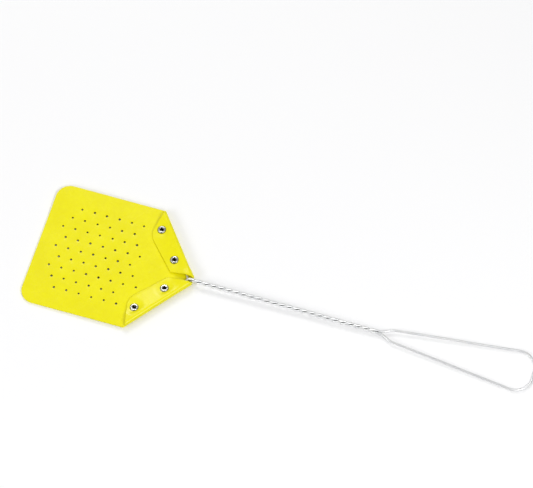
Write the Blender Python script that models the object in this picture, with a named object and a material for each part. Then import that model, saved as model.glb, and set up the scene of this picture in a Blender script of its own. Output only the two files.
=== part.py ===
"""A leather fly swatter, lying on its back.

One sheet of leather is punched, and its two pointed edges are folded forward over the arms of
a single twisted wire, where four semi-tubular rivets hold them. Metres, +Z up, head towards -X,
handle towards +X, and the origin is the middle of the footprint, on the surface it lies on.
"""

import math

import bmesh
import bpy
from mathutils import Vector
from mathutils.geometry import delaunay_2d_cdt, intersect_line_line_2d

MM = 0.001

# Overall sizes
LENGTH = 445 * MM
HEAD_LENGTH = 140 * MM
HEAD_WIDTH = 117.5 * MM
POINT_LENGTH = 43 * MM  # of the head's tapered end, where the two folds run
TIP_WIDTH = 7 * MM
LOOP_LENGTH = 138 * MM
LOOP_WIDTH = 41 * MM  # where its sides would meet its end

# Leather
SHEET = 1.6 * MM
FAR_CORNER_RADIUS = 12.5 * MM
FLAP_WIDTH = 20.5 * MM  # how far a flap reaches in from its fold, seen from the front
FLAP_END_WIDTH = 16.8 * MM
FLAP_CORNER_RADIUS = 14 * MM
FLAP_END_RADIUS = 6 * MM
FLAP_SPACING = 4 * MM  # between the two flaps' ends at the tip
FLAP_INNER_SPACING = 6.5 * MM  # between their inner corners
FLAP_DROP_ANGLE = math.radians(40)
FLAP_DROP_RADIUS = 3 * MM
FLAP_LIFT_ANGLE = math.radians(7)
FLAP_LIFT_RADIUS = 15 * MM
FLAP_PRESSED_WIDTH = 7 * MM  # the flat that the rivets hold down
FLAP_OPEN_BEND_RADIUS = 2.6 * MM  # of the open end's profile, round the wire
FLAP_OPEN_LEVEL = 2.2 * MM
FLAP_OPEN_SLOPE = math.radians(12)
FLAP_OPEN_RADIUS = 12 * MM
FLAP_OPENING_START = 53 * MM  # along the fold, where the flap starts to rise to its open end
FLAP_OPENING_LENGTH = 9 * MM
TONGUE_WIDTH = 2 * MM  # of the sheet's tip, under the wire

# Punched holes: rows along the head, each starting so many half steps in
HOLE_RADIUS = 1 * MM
HOLE_SIDES = 10
HOLE_STEP = 11.3 * MM
HOLE_ROW_SPACING = HOLE_STEP * math.sqrt(3) / 2
FIRST_HOLE_FROM_END = 15.4 * MM
HOLE_ROW_STARTS = (2, 1, 0, 1, 0, 1, 0, 1, 2)
HOLE_ROW_COUNTS = (6, 6, 8, 7, 7, 7, 7, 6, 6)

# Wire
WIRE_RADIUS = 1 * MM
STRAND_GAP = 0.08 * MM  # between the two strands of the twist
HALF_TURNS = 24.5
TWIST_EASE = 6 * MM  # over which the twist stops at the loop
TWIST_START = 3.5 * MM  # from the sheet's tip back to the arms' crossing, where the twist starts
POINTS_PER_TURN = 12
ARM_END_FROM_CORNER = 7 * MM
ARM_LEAVES_FOLD = 56 * MM  # along the fold from the head's corner
ARM_EASE_RADIUS = 12 * MM  # of the slight bend there
ARM_BEND_FROM_CROSSING = 1.1 * MM  # where the arms turn into the twist
ARM_BEND_RADIUS = 3 * MM
ARM_RISE_LENGTH = 5 * MM  # over which one arm climbs over the other
ARM_POINT_STEP = 1.2 * MM
FLARE_LENGTH = 12 * MM
FLARE_WIDTH = 11 * MM
FLARE_RADIUS = 12 * MM
CROWN_RADIUS = 15 * MM

# Rivets
RIVET_ALONG = (17 * MM, 48.5 * MM)  # along the fold from the head's corner
RIVET_FROM_FOLD = 10.1 * MM
RIVET_HEAD_RADIUS = 4.2 * MM
RIVET_HEAD_HEIGHT = 1 * MM
RIVET_DOME_HEIGHT = 0.7 * MM
RIVET_HEAD_TAPER = 0.1 * MM
RIVET_SHANK_RADIUS = 2 * MM
RIVET_BORE_RADIUS = 1.5 * MM
RIVET_BORE_FLARE = 0.25 * MM
CLINCH_RADIUS = 3.5 * MM
CLINCH_HEIGHT = 0.9 * MM
RIVET_SEGMENTS = 24
DOME_STEPS = 5
ROLL_STEP, ROLL_STEPS = 30, 7  # degrees between the points of the rolled ring, and their count
RIVET_HOLE_SIDES = 16
SHARP_ANGLE = math.radians(40)  # between two faces of a rivet that are shaded apart

# Clearances between pieces
FOLD_GAP = 0.3 * MM
CROSSING_GAP = 0.15 * MM  # between the sheet and the lower arm where the arms cross
RIVET_GAP = 0.15 * MM
RIVET_HOLE_GAP = 0.25 * MM

# Places that follow from the sizes
FAR_X = -LENGTH / 2
TIP_X = FAR_X + HEAD_LENGTH
CORNER_X = TIP_X - POINT_LENGTH
LOOP_END_X = LENGTH / 2 - WIRE_RADIUS
SPLIT_X = LENGTH / 2 - LOOP_LENGTH
TWIST_X = TIP_X - TWIST_START
STRAND_OFFSET = WIRE_RADIUS + STRAND_GAP / 2
FOLD_ANGLE = math.atan2((HEAD_WIDTH - TIP_WIDTH) / 2, POINT_LENGTH)
SHEET_Z = RIVET_HEAD_HEIGHT + RIVET_GAP + SHEET / 2  # the sheet's middle surface
BEND_RADIUS = WIRE_RADIUS + FOLD_GAP + SHEET / 2
BEND_REACH = BEND_RADIUS + SHEET / 2  # from the wire's middle out to the folded edge
WIRE_Z = SHEET_Z + BEND_RADIUS
LOW_STRAND_Z = SHEET_Z + SHEET / 2 + CROSSING_GAP + WIRE_RADIUS  # at the crossing
TWIST_Z = LOW_STRAND_Z + STRAND_OFFSET  # of the twist's middle there
TWIST_RATE = HALF_TURNS * math.pi / (SPLIT_X - TWIST_X - TWIST_EASE / 2)
FLAP_Z = SHEET + FOLD_GAP  # of the pressed flap's middle surface over the sheet's

FOLD_DIRECTION = Vector((math.cos(FOLD_ANGLE), -math.sin(FOLD_ANGLE)))
FOLD_NORMAL = Vector((math.sin(FOLD_ANGLE), math.cos(FOLD_ANGLE)))
CORNER = Vector((CORNER_X, HEAD_WIDTH / 2))

# The flap's cross section as a chain of (length, turn): out from the sheet, round the wire,
# down to the sheet, flat under the rivets, and lifting a little to the free edge.
DROP = (
    BEND_RADIUS * (1 + math.cos(FLAP_DROP_ANGLE))
    - FLAP_DROP_RADIUS * (1 - math.cos(FLAP_DROP_ANGLE))
    - FLAP_Z
)
ROUND_WIRE = math.pi + FLAP_DROP_ANGLE
FLAP_CHAIN = (
    (BEND_RADIUS * ROUND_WIRE, ROUND_WIRE),
    (DROP / math.sin(FLAP_DROP_ANGLE), 0.0),
    (FLAP_DROP_RADIUS * FLAP_DROP_ANGLE, -FLAP_DROP_ANGLE),
    (FLAP_PRESSED_WIDTH, 0.0),
    (FLAP_LIFT_RADIUS * FLAP_LIFT_ANGLE, -FLAP_LIFT_ANGLE),
    (FLAP_WIDTH, 0.0),
)
# The same near the tip, where the flap's end stays up and the wire comes out from under it.
OPEN_CHAIN = (
    (FLAP_OPEN_BEND_RADIUS * math.pi, math.pi),
    (FLAP_OPEN_LEVEL, 0.0),
    (FLAP_OPEN_RADIUS * FLAP_OPEN_SLOPE, FLAP_OPEN_SLOPE),
    (FLAP_WIDTH, 0.0),
)
FOLD_LINE_STEP = math.radians(16)  # the turn between two lines of the folded mesh


def chain_point(distance, chain=FLAP_CHAIN):
    """(outwards, upwards) at a distance along the flap's cross section."""
    out, up, heading = 0.0, 0.0, 0.0
    for length, turn in chain:
        part = min(distance, length)
        if turn:
            radius = length / turn
            end = heading + turn * part / length
            out += radius * (math.sin(end) - math.sin(heading))
            up += radius * (math.cos(heading) - math.cos(end))
            heading = end
        else:
            out += part * math.cos(heading)
            up += part * math.sin(heading)
        distance -= part
        if distance <= 0:
            break
    return out, up


def flat_distance(from_fold):
    """The distance along the cross section of the point this far in from the folded edge."""
    low, high = BEND_RADIUS * math.pi / 2, sum(length for length, _ in FLAP_CHAIN)
    for _ in range(40):
        middle = (low + high) / 2
        if BEND_REACH - chain_point(middle)[0] < from_fold:
            low = middle
        else:
            high = middle
    return low


def fold_lines():
    """The distances along the cross section where the mesh needs a line."""
    lines, start = [0.0], 0.0
    for length, turn in FLAP_CHAIN[:-1]:
        steps = max(1, round(abs(turn) / FOLD_LINE_STEP))
        lines += [start + length * (i + 1) / steps for i in range(steps)]
        start += length
    return lines


def smooth_step(value):
    """0 below 0, 1 above 1, and a smooth rise between."""
    value = min(1.0, max(0.0, value))
    return value * value * (3 - 2 * value)


def flap_opening(along):
    """0 where the flap is pressed down, and 1 at its open end."""
    return smooth_step((along - FLAP_OPENING_START) / FLAP_OPENING_LENGTH)


def on_pattern(along, distance):
    """A point of the flat cut: along the +Y fold from the head's corner, and out past its bend."""
    return CORNER + along * FOLD_DIRECTION + (distance - BEND_REACH) * FOLD_NORMAL


def folded(point):
    """Where a point of the flat cut lies once the flaps are folded."""
    side = -1 if point.y < 0 else 1
    flat = Vector((point.x, abs(point.y)))
    distance = (flat - CORNER).dot(FOLD_NORMAL) + BEND_REACH
    if distance <= 0:
        return Vector((point.x, point.y, SHEET_Z))
    opening = flap_opening((flat - CORNER).dot(FOLD_DIRECTION))
    pressed = Vector(chain_point(distance))
    out, up = pressed.lerp(Vector(chain_point(distance, OPEN_CHAIN)), opening)
    flat += (out - distance) * FOLD_NORMAL
    return Vector((flat.x, side * flat.y if point.y else 0.0, SHEET_Z + up))


def filleted(corners, closed=False, step=math.radians(12)):
    """The points of a path whose corners, given as (point, radius), are rounded."""
    made, last = [], len(corners) - 1
    for i, (corner, radius) in enumerate(corners):
        if radius == 0 or (not closed and i in (0, last)):
            made.append(corner)
            continue
        back = (corners[i - 1][0] - corner).normalized()
        ahead = (corners[(i + 1) % len(corners)][0] - corner).normalized()
        half = back.angle(ahead) / 2
        centre = corner + (back + ahead).normalized() * radius / math.sin(half)
        start = corner + back * radius / math.tan(half) - centre
        turn = math.pi - 2 * half
        if start.x * back.y - start.y * back.x > 0:
            turn = -turn
        steps = max(2, round(abs(turn) / step))
        for k in range(steps + 1):
            angle = turn * k / steps
            made.append(
                centre
                + Vector(
                    (
                        start.x * math.cos(angle) - start.y * math.sin(angle),
                        start.x * math.sin(angle) + start.y * math.cos(angle),
                    )
                )
            )
    return made


def crossing(a, a_direction, b, b_direction):
    """Where two lines in the plane cross."""
    a_reach = a_direction.normalized() * LENGTH
    b_reach = b_direction.normalized() * LENGTH
    return intersect_line_line_2d(a - a_reach, a + a_reach, b - b_reach, b + b_reach)


def cut_outline():
    """The flat cut's outline, anticlockwise, as the +Y half and its mirror image."""
    wall = on_pattern(0, WIRE_RADIUS + FOLD_GAP)  # on the folded edge's inner side
    strand_side = STRAND_OFFSET + WIRE_RADIUS + FOLD_GAP
    fold_end = (wall.y - strand_side) / math.sin(FOLD_ANGLE)
    apex = HEAD_WIDTH / 2 / math.sin(FOLD_ANGLE)  # where the two folded edges would meet

    tip_width = (
        (apex - fold_end) * math.sin(FOLD_ANGLE) - FLAP_SPACING / 2
    ) / math.cos(FOLD_ANGLE)
    end_along = apex - (
        FLAP_INNER_SPACING / 2 + FLAP_END_WIDTH * math.cos(FOLD_ANGLE)
    ) / math.sin(FOLD_ANGLE)
    end_corner = on_pattern(end_along, flat_distance(FLAP_END_WIDTH))
    wide = on_pattern(0, flat_distance(FLAP_WIDTH)) + FLAP_CORNER_RADIUS * FOLD_DIRECTION
    side_corner = crossing(end_corner, wide - end_corner, CORNER, Vector((1, 0)))
    half = [
        (Vector((TIP_X, TONGUE_WIDTH / 2)), 0),
        (on_pattern(fold_end, SHEET / 2), 0),
        (on_pattern(fold_end, flat_distance(tip_width)), 0),
        (end_corner, FLAP_END_RADIUS),
        (side_corner, FLAP_CORNER_RADIUS),
        (Vector((FAR_X, HEAD_WIDTH / 2)), FAR_CORNER_RADIUS),
    ]
    mirrored = [(Vector((p.x, -p.y)), radius) for p, radius in reversed(half)]
    return filleted(half + mirrored, closed=True)


def ring(centre, radius, sides):
    """The corners of a small round hole."""
    turn = 2 * math.pi / sides
    return [
        centre + radius * Vector((math.cos(i * turn), math.sin(i * turn)))
        for i in range(sides)
    ]


def apothem(radius, sides):
    """The distance from a polygon's middle to the middle of its sides."""
    return radius * math.cos(math.pi / sides)


def punched_holes():
    """(centre, radius, sides) of the small holes that let the air through."""
    middle_row = (len(HOLE_ROW_STARTS) - 1) / 2
    for row, (start, count) in enumerate(zip(HOLE_ROW_STARTS, HOLE_ROW_COUNTS)):
        for i in range(count):
            x = FAR_X + FIRST_HOLE_FROM_END + (start / 2 + i) * HOLE_STEP
            y = (row - middle_row) * HOLE_ROW_SPACING
            yield Vector((x, y)), HOLE_RADIUS, HOLE_SIDES


def rivet_centre(along, side):
    """A rivet's axis, on the +Y fold for side 1 and on the -Y fold for side -1."""
    centre = CORNER + along * FOLD_DIRECTION - RIVET_FROM_FOLD * FOLD_NORMAL
    return Vector((centre.x, side * centre.y))


def rivet_holes():
    """(centre, radius, sides) of the rivets' holes in the flat cut, in sheet and flap."""
    radius = RIVET_SHANK_RADIUS + RIVET_HOLE_GAP
    for along in RIVET_ALONG:
        in_flap = on_pattern(along, flat_distance(RIVET_FROM_FOLD))
        for side in (1, -1):
            yield rivet_centre(along, side), radius, RIVET_HOLE_SIDES
            yield Vector((in_flap.x, side * in_flap.y)), radius, RIVET_HOLE_SIDES


def material(name, colour, roughness, metallic=0.0):
    made = bpy.data.materials.new(name)
    made.use_nodes = True
    shader = made.node_tree.nodes["Principled BSDF"]
    shader.inputs["Base Color"].default_value = (*colour, 1)
    shader.inputs["Roughness"].default_value = roughness
    shader.inputs["Metallic"].default_value = metallic
    return made


def add_object(name, data, surface, collection):
    obj = bpy.data.objects.new(name, data)
    data.materials.append(surface)
    collection.objects.link(obj)
    return obj


def flat_cut():
    """The flat cut as a bmesh of triangles in the plane, with its holes open."""
    loops = [cut_outline()]
    holes = [*punched_holes(), *rivet_holes()]
    loops += [ring(*hole) for hole in holes]
    points, edges = [], []
    for loop in loops:
        first = len(points)
        count = len(loop)
        points += loop
        edges += [(first + i, first + (i + 1) % count) for i in range(count)]
    inside = 1  # delaunay_2d_cdt's output of the triangles within the outermost edges
    made, _, faces, *_ = delaunay_2d_cdt(points, edges, [], inside, 1e-7)
    mesh = bmesh.new()
    vertices = [mesh.verts.new((p.x, p.y, 0)) for p in made]
    for face in faces:
        centre = sum((made[i] for i in face), Vector((0, 0))) / len(face)
        if all((centre - c).length > apothem(r, sides) for c, r, sides in holes):
            mesh.faces.new([vertices[i] for i in face])
    return mesh


def cut_along_folds(mesh):
    """Adds the lines, parallel to each fold, between which the leather bends."""
    for side in (1, -1):
        normal = Vector((FOLD_NORMAL.x, side * FOLD_NORMAL.y, 0))
        for distance in fold_lines():
            at = on_pattern(0, distance)
            flap = [
                f
                for f in mesh.faces
                if any(
                    v.co.y * side > 0
                    and (v.co - Vector((at.x, side * at.y, 0))).dot(normal) > 0
                    for v in f.verts
                )
            ]
            edges = {e for f in flap for e in f.edges}
            corners = {v for f in flap for v in f.verts}
            bmesh.ops.bisect_plane(
                mesh,
                geom=flap + list(edges) + list(corners),
                plane_co=(at.x, side * at.y, 0),
                plane_no=normal,
                dist=1e-6,
            )


def leather_head(surface, collection):
    """The punched sheet with its two flaps folded over the wire."""
    mesh = flat_cut()
    cut_along_folds(mesh)
    for v in mesh.verts:
        v.co = folded(v.co)
    for e in mesh.edges:
        e.smooth = not e.is_boundary
    bmesh.ops.triangulate(mesh, faces=mesh.faces)
    for f in mesh.faces:
        f.smooth = True
    data = bpy.data.meshes.new("leather_head")
    mesh.to_mesh(data)
    mesh.free()
    obj = add_object("leather_head", data, surface, collection)
    solidify = obj.modifiers.new("thickness", "SOLIDIFY")
    solidify.thickness = SHEET
    solidify.offset = 0
    solidify.use_even_offset = True


def twist_z(x):
    """The height of the twist's middle and the loop: an even slope, until the loop rests."""
    slope = (TWIST_Z - WIRE_RADIUS) / (LOOP_END_X - TWIST_X)
    return TWIST_Z - slope * (x - TWIST_X)


def twist_angle(distance):
    """How far the strands have turned since the arms' crossing, stopping smoothly."""
    to_loop = SPLIT_X - TWIST_X - distance
    if to_loop < TWIST_EASE:
        return HALF_TURNS * math.pi - TWIST_RATE * to_loop**2 / (2 * TWIST_EASE)
    return TWIST_RATE * distance


def strand(phase):
    """The points of one strand of the twist, which starts below for phase 0 and above for pi."""
    length = SPLIT_X - TWIST_X
    steps = round(HALF_TURNS / 2 * POINTS_PER_TURN)
    made = []
    for i in range(steps + 1):
        x = length * i / steps
        angle = twist_angle(x) + phase
        aside = -STRAND_OFFSET * math.sin(angle)
        above = -STRAND_OFFSET * math.cos(angle)
        made.append(Vector((TWIST_X + x, aside, twist_z(TWIST_X + x) + above)))
    return made


def arm(side, crossing_z):
    """The arm in the +Y or -Y fold, from its end to where it crosses the other."""
    lay = math.atan(STRAND_OFFSET * TWIST_RATE)
    bend = Vector((-math.cos(lay), math.sin(lay))) * ARM_BEND_FROM_CROSSING
    path = filleted(
        [
            (on_pattern(ARM_END_FROM_CORNER, 0), 0),
            (on_pattern(ARM_LEAVES_FOLD, 0), ARM_EASE_RADIUS),
            (Vector((TWIST_X, 0)) + bend, ARM_BEND_RADIUS),
            (Vector((TWIST_X, 0)), 0),
        ]
    )
    path.reverse()
    made, walked = [], 0.0  # from the crossing back
    for a, b in zip(path, path[1:]):
        length = (b - a).length
        parts = max(1, round(length / ARM_POINT_STEP)) if walked < ARM_RISE_LENGTH else 1
        for i in range(1, parts + 1):
            at = a.lerp(b, i / parts)
            share = smooth_step(1 - (walked + length * i / parts) / ARM_RISE_LENGTH)
            z = WIRE_Z + (crossing_z - WIRE_Z) * share
            made.append(Vector((at.x, side * at.y, z)))
        walked += length
    return made[::-1]


def wire_path():
    """The whole wire: an arm, a strand, the loop, the other strand and the other arm."""
    far_side = [
        (Vector((SPLIT_X, STRAND_OFFSET)), 0),
        (Vector((SPLIT_X + TWIST_EASE / 2, STRAND_OFFSET)), FLARE_RADIUS),
        (Vector((SPLIT_X + FLARE_LENGTH, FLARE_WIDTH / 2)), FLARE_RADIUS),
        (Vector((LOOP_END_X, LOOP_WIDTH / 2)), CROWN_RADIUS),
    ]
    near_side = [(Vector((p.x, -p.y)), radius) for p, radius in far_side]
    loop = filleted(near_side + far_side[::-1])[1:-1]
    return [
        *arm(1, LOW_STRAND_Z),
        *strand(0),
        *(Vector((p.x, p.y, twist_z(p.x))) for p in loop),
        *reversed(strand(math.pi)),
        *reversed(arm(-1, LOW_STRAND_Z + 2 * STRAND_OFFSET)),
    ]


def wire_handle(surface, collection):
    """One wire, bent double: it makes the arms, the twisted shaft and the loop."""
    data = bpy.data.curves.new("wire_handle", "CURVE")
    data.dimensions = "3D"
    data.bevel_depth = WIRE_RADIUS
    data.bevel_resolution = 2
    data.use_fill_caps = True
    spline = data.splines.new("POLY")
    points = wire_path()
    spline.points.add(len(points) - 1)
    for at, point in zip(spline.points, points):
        at.co = (*point, 1)
    return add_object("wire_handle", data, surface, collection)


def rivet_profile():
    """(radius, height) of a set semi-tubular rivet, from its crown up to its bore's floor."""
    head = RIVET_HEAD_RADIUS
    flap_top = SHEET_Z + FLAP_Z + SHEET / 2
    under = flap_top + RIVET_GAP
    dome = [
        (head * math.sin(a), RIVET_DOME_HEIGHT * (1 - math.cos(a)))
        for a in (math.pi / 2 * k / DOME_STEPS for k in range(DOME_STEPS + 1))
    ]
    roll = CLINCH_HEIGHT / 2
    roll_middle = CLINCH_RADIUS - roll
    rolled = [
        (roll_middle + roll * math.cos(a), under + roll + roll * math.sin(a))
        for a in (math.radians(-90 + ROLL_STEP * k) for k in range(ROLL_STEPS + 1))
    ]
    return [
        *dome,
        (head - RIVET_HEAD_TAPER, RIVET_HEAD_HEIGHT),
        (RIVET_SHANK_RADIUS, RIVET_HEAD_HEIGHT),
        (RIVET_SHANK_RADIUS, under - RIVET_GAP),
        *rolled,
        (RIVET_BORE_RADIUS + RIVET_BORE_FLARE, under + roll),
        (RIVET_BORE_RADIUS, under - RIVET_GAP),
        (RIVET_BORE_RADIUS, SHEET_Z),
        (0.0, SHEET_Z - RIVET_GAP),
    ]


def rivet_mesh(surface):
    """The rivet as a turned body about its own axis."""
    mesh = bmesh.new()
    points = [mesh.verts.new((r, 0, z)) for r, z in rivet_profile()]
    edges = [mesh.edges.new(pair) for pair in zip(points, points[1:])]
    bmesh.ops.spin(
        mesh,
        geom=points + edges,
        cent=(0, 0, 0),
        axis=(0, 0, 1),
        angle=2 * math.pi,
        steps=RIVET_SEGMENTS,
        use_merge=True,
    )
    bmesh.ops.remove_doubles(mesh, verts=mesh.verts, dist=1e-6)
    bmesh.ops.recalc_face_normals(mesh, faces=mesh.faces)
    data = bpy.data.meshes.new("rivet")
    mesh.to_mesh(data)
    mesh.free()
    data.materials.append(surface)
    data.shade_smooth()
    data.set_sharp_from_angle(angle=SHARP_ANGLE)
    return data


def rivets(surface, collection):
    """Four alike, which share one mesh."""
    data = rivet_mesh(surface)
    for side, side_name in ((1, "left"), (-1, "right")):
        for along, place in zip(RIVET_ALONG, ("outer", "inner")):
            obj = bpy.data.objects.new(f"rivet_{side_name}_{place}", data)
            obj.location = (*rivet_centre(along, side), 0)
            collection.objects.link(obj)


def main():
    for obj in list(bpy.data.objects):
        bpy.data.objects.remove(obj)
    collection = bpy.context.scene.collection
    leather = material("yellow leather", (0.90, 0.84, 0.02), 0.5)
    galvanised = material("galvanised wire", (0.62, 0.63, 0.64), 0.35, 1.0)
    nickel = material("nickel-plated steel", (0.70, 0.69, 0.66), 0.22, 1.0)
    leather_head(leather, collection)
    wire_handle(galvanised, collection)
    rivets(nickel, collection)


main()
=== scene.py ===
"""The looks of the leather fly swatter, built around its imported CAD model.

The leather head, the wire and the four rivets are rebuilt here with fine geometry, each in the
place of its CAD node. Metres, +Z up, head towards -X, handle towards +X, lying on the floor z = 0.
"""

import math
import random

import bmesh
import bpy
import numpy as np
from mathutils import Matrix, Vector, noise
from mathutils.geometry import delaunay_2d_cdt, intersect_line_line_2d


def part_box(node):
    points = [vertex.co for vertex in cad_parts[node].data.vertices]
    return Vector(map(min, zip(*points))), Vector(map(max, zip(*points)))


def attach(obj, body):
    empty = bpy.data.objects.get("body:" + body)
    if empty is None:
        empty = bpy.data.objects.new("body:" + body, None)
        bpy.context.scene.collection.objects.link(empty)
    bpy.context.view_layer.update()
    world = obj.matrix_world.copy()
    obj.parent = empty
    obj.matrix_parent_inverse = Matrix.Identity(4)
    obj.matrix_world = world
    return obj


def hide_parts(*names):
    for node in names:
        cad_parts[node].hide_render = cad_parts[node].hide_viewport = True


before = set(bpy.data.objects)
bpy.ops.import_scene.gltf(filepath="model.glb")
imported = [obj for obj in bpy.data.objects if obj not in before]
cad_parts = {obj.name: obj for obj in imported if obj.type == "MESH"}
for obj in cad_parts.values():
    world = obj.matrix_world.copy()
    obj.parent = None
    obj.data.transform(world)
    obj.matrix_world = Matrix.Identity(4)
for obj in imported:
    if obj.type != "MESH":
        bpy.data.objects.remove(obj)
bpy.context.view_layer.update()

MM = 0.001
HEAD_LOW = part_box("leather_head")[0]
WIRE_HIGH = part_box("wire_handle")[1]

# Camera and studio. Azimuth 0 is in front, towards -Y, and 90 towards +X. Angles in degrees.
IMAGE_WIDTH = 533
SENSOR_WIDTH = 36
FOCAL_LENGTH = SENSOR_WIDTH * 3000 / IMAGE_WIDTH  # a long lens
CAMERA_AZIMUTH = 16.8
CAMERA_ELEVATION = 63.1
CAMERA_DISTANCE = 2.612
CAMERA_TARGET = Vector((-0.0324, 0.0546, 0))
FLOOR_REACH = 6.0
TENT_HEIGHTS = (0.08, 0.45)  # over which the tent brightens, as the sine of the elevation
TENT_BRIGHTNESS = (0.12, 0.48)

# The flat cut and its folds, as in the CAD model
HEAD_LENGTH = 140 * MM
HEAD_WIDTH = 117.5 * MM
POINT_LENGTH = 43 * MM  # of the head's tapered end, where the two folds run
TIP_WIDTH = 7 * MM
SHEET = 1.6 * MM
FAR_CORNER_RADIUS = 12.5 * MM
FLAP_WIDTH = 20.5 * MM  # how far a flap reaches in from its fold, seen from the front
FLAP_END_WIDTH = 16.8 * MM
FLAP_CORNER_RADIUS = 14 * MM
FLAP_END_RADIUS = 6 * MM
FLAP_SPACING = 4 * MM  # between the two flaps' ends at the tip
FLAP_INNER_SPACING = 6.5 * MM  # between their inner corners
FLAP_DROP_ANGLE = math.radians(40)
FLAP_DROP_RADIUS = 3 * MM
FLAP_OPEN_BEND_RADIUS = 2.45 * MM  # of the open end's profile, round the wire
FLAP_OPEN_LEVEL = 1.8 * MM
FLAP_OPEN_SLOPE = math.radians(12)
FLAP_OPEN_RADIUS = 12 * MM
FLAP_OPENING_START = 57 * MM  # along the fold, where the flap starts to rise to its open end
FLAP_OPENING_LENGTH = 9 * MM
TONGUE_WIDTH = 2 * MM  # of the sheet's tip, under the wire
FOLD_GAP = 0.3 * MM
CONTACT = 0.04 * MM  # between surfaces that touch

# Punched holes: rows along the head, each starting so many half steps in
HOLE_RADIUS = 0.86 * MM
HOLE_SIZES = (0.86, 1.12)  # the smallest and the largest hole, as shares of that
HOLE_STEP = 11.3 * MM
HOLE_ROW_SPACING = HOLE_STEP * math.sqrt(3) / 2
FIRST_HOLE_FROM_END = 15.4 * MM
HOLE_ROW_STARTS = (2, 1, 0, 1, 0, 1, 0, 1, 2)
HOLE_ROW_COUNTS = (6, 6, 8, 7, 7, 7, 7, 6, 6)
HOLE_SIDES = 20
HOLE_STRAY = 0.22 * MM  # how far a hole may be off its place
HOLE_DISH = 0.1 * MM  # how far the punch drew the leather down round a hole
HOLE_DISH_WIDTH = 1.4 * MM  # from the hole's edge out to where that ends

# The leather's mesh
MESH_STEP = 2.2 * MM
CLEAR_OF_LOOPS = 0.62 * MESH_STEP  # between the outline or a hole and the nearest loose point
CLEAR_OF_FOLD_LINES = 0.35 * MESH_STEP
OUTLINE_STEP = 1.3 * MM
FOLD_STEP = 1.6 * MM  # between points along a fold line
FOLD_LINES_BEFORE = 30 * MM  # how far fold lines start before the head's corner
FOLD_LINES_BEYOND = 60 * MM  # and how much longer than a fold they are
DROP_LINE_STEP = 0.5 * MM  # between fold lines where the flap comes down to the sheet
FLAP_LINE_STEP = 1.1 * MM  # and where it runs on to its free edge
FOLD_LINE_STEP = math.radians(8)  # between fold lines in the bend
EDGE_ROUNDING = 0.28 * MM  # of the cut edges
ROUNDING_SHARES = (0.0, 0.3, 1.0)  # of that, where the rounding has a line of the mesh
IN_HOLE = 0.985  # a face is in a hole if its middle is within this share of the hole's radius
MERGE_DISTANCE = 1e-7  # of points in the flat cut
WELD_DISTANCE = 1e-6  # of a rivet's vertices

# The leather as it really lies
FAR_EDGE_DROP = 1.0 * MM  # the far edge comes down to the floor
LOWEST_DROP = 1.05 * MM  # no point of the sheet comes down further
LEVEL_MARGIN = 4 * MM  # level stretch at each end of the slope down to the far edge
FAR_CORNER_CURL = 1.2 * MM  # of the far +Y corner
CURL_START = 0.1  # of the way from the head's middle to its side
WAVE_HEIGHT = 0.35 * MM
WAVE_LENGTH = 55 * MM
WAVE_RISE = 0.15  # of their height, by which the waves are more up than down
RIVET_DIMPLE = 0.06 * MM
RIVET_DIMPLE_WIDTH = 6 * MM  # from the rivet's ring out to where its pull ends
RIVET_HOLD = 0.5  # how far the rivets press the flap down, as a share of the way to the sheet
FREE_EDGE_LIFT = 0.15 * MM
LIFT_LENGTH = 16 * MM  # of the waves in it
LIFT_MEAN = 0.4  # of that lift, before the waves add to it or take from it
LOOSE_ROLL = math.radians(12.5)  # how far past level the leather follows the wire
LOOSE_RADIUS = 150 * MM
LOOSE_SLOPE = math.radians(6.5)  # between the rivets, down to the free edge
FOLD_FLATTENING = 0.13  # how much lower the fold is past the wire's end, as a share
FLAT_FOLD_END = -1 * MM  # along the fold from the head's corner, where that starts to lessen
FULL_FOLD_START = 13 * MM  # and where the wire fills the fold

# Wire
WIRE_RADIUS = 1 * MM
STRAND_OFFSET = 1.004 * WIRE_RADIUS  # from the twist's middle to a strand's
HALF_TURNS = 24.5
TWIST_EASE = 6 * MM  # over which the twist stops at the loop
TWIST_START = 3.5 * MM  # from the sheet's tip back to the arms' crossing, where the twist starts
POINTS_PER_TURN = 32
UNEVEN_TWIST = 0.35  # radians
UNEVEN_TWIST_LENGTH = 30 * MM  # of its waves
WIRE_SIDES = 20
ARM_END_FROM_CORNER = 7 * MM
ARM_LEAVES_FOLD = 56 * MM  # along the fold from the head's corner
ARM_EASE_RADIUS = 12 * MM  # of the slight bend there
ARM_BEND_FROM_CROSSING = 1.1 * MM  # where the arms turn into the twist
ARM_BEND_RADIUS = 3 * MM
ARM_RISE_LENGTH = 5 * MM  # over which one arm climbs over the other
ARM_POINT_STEP = 0.5 * MM
LOOP_LENGTH = 138 * MM
LOOP_WIDTH = 41 * MM  # where its sides would meet its end
FLARE_LENGTH = 12 * MM
FLARE_WIDTH = 11 * MM
FLARE_RADIUS = 12 * MM
CROWN_RADIUS = 15 * MM
LOOP_POINT_STEP = 1.5 * MM
HAND_BENT = 0.28 * MM  # how far the wire strays from its path
HAND_BENT_LENGTH = 38 * MM  # of its waver
HAND_BENT_START = 25 * MM  # past the crossing, where it is fully wavy
HAND_BENT_END = 10 * MM  # before the loop's end, where the waver starts to stop
GROOVE_DARK = 0.35 * WIRE_RADIUS  # from the twist's middle: its painted groove shade is darkest up to here
GROOVE_FADE = 0.75 * WIRE_RADIUS  # and from there on to where the dark ends

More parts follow.
